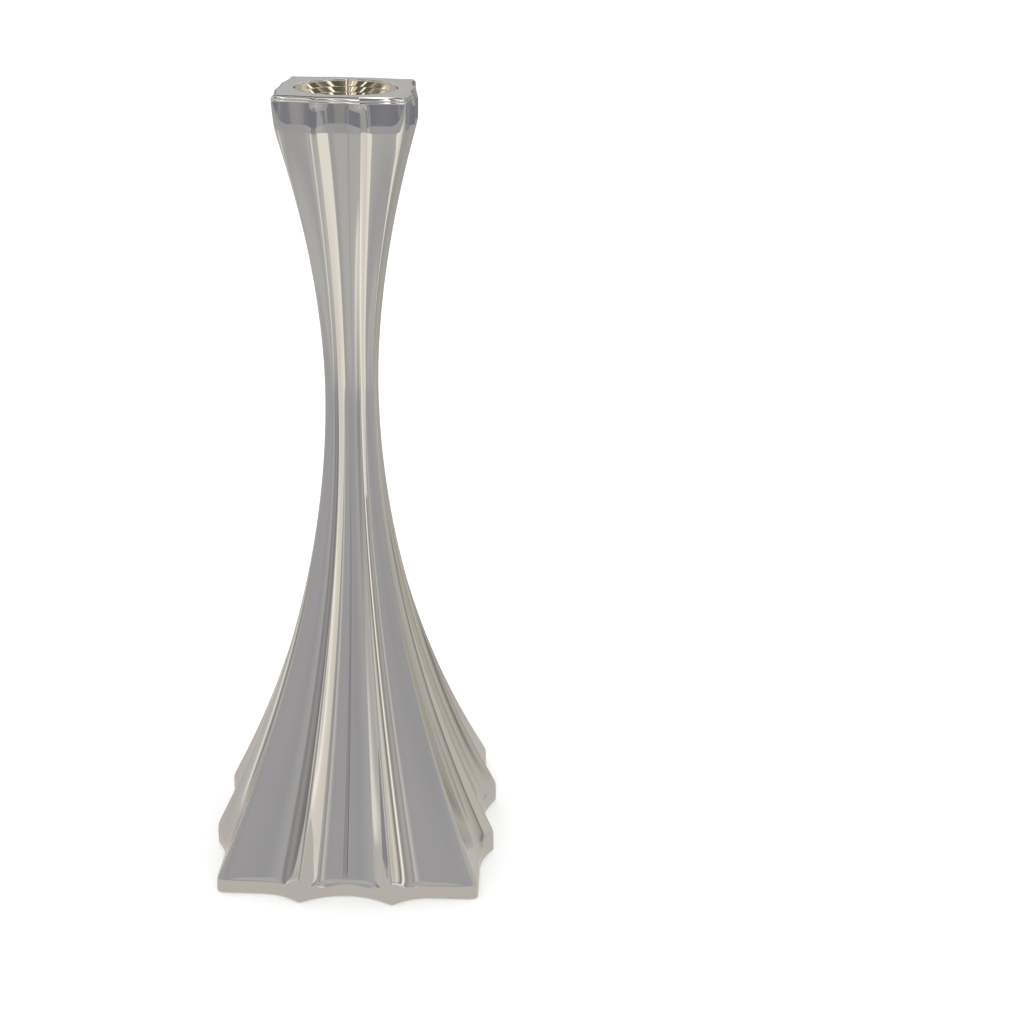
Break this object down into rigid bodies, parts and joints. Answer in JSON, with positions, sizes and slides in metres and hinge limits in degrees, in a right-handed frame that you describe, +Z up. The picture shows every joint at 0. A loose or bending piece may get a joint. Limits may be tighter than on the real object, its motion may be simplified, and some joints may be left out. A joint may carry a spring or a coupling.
{
  "type": "candlestick",
  "caption": "Square fluted silver candlestick with a flared foot, a slim waist, a flat top and a round stepped cup for a taper candle.",
  "frame": {"origin": "centre of the underside, on the table", "axes": "+Z up along the stem, the front face looks along -Y"},
  "size_m": [0.0938, 0.0938, 0.25],
  "materials": {
    "silver": "polished",
    "gilt_brass": "polished",
    "steel": "zinc plated",
    "cast_iron": "rough",
    "resin": "cast",
    "felt": "felt"
  },
  "bodies": {
    "candlestick": {"body_shell": "silver", "top_plate": "silver", "socket_sleeve": "silver", "stem_core": "resin", "base_weight": "cast_iron", "base_plate": "steel", "tie_bolt": "steel", "washer": "steel", "hex_nut": "steel", "felt_pad": "felt"},
    "cup": {"candle_cup": "gilt_brass"}
  },
  "joints": [
    {"name": "cup_lift", "type": "slide", "parent": "candlestick", "child": "cup", "axis": [0, 0, 1], "range_m": [0, 0.03]}
  ]
}
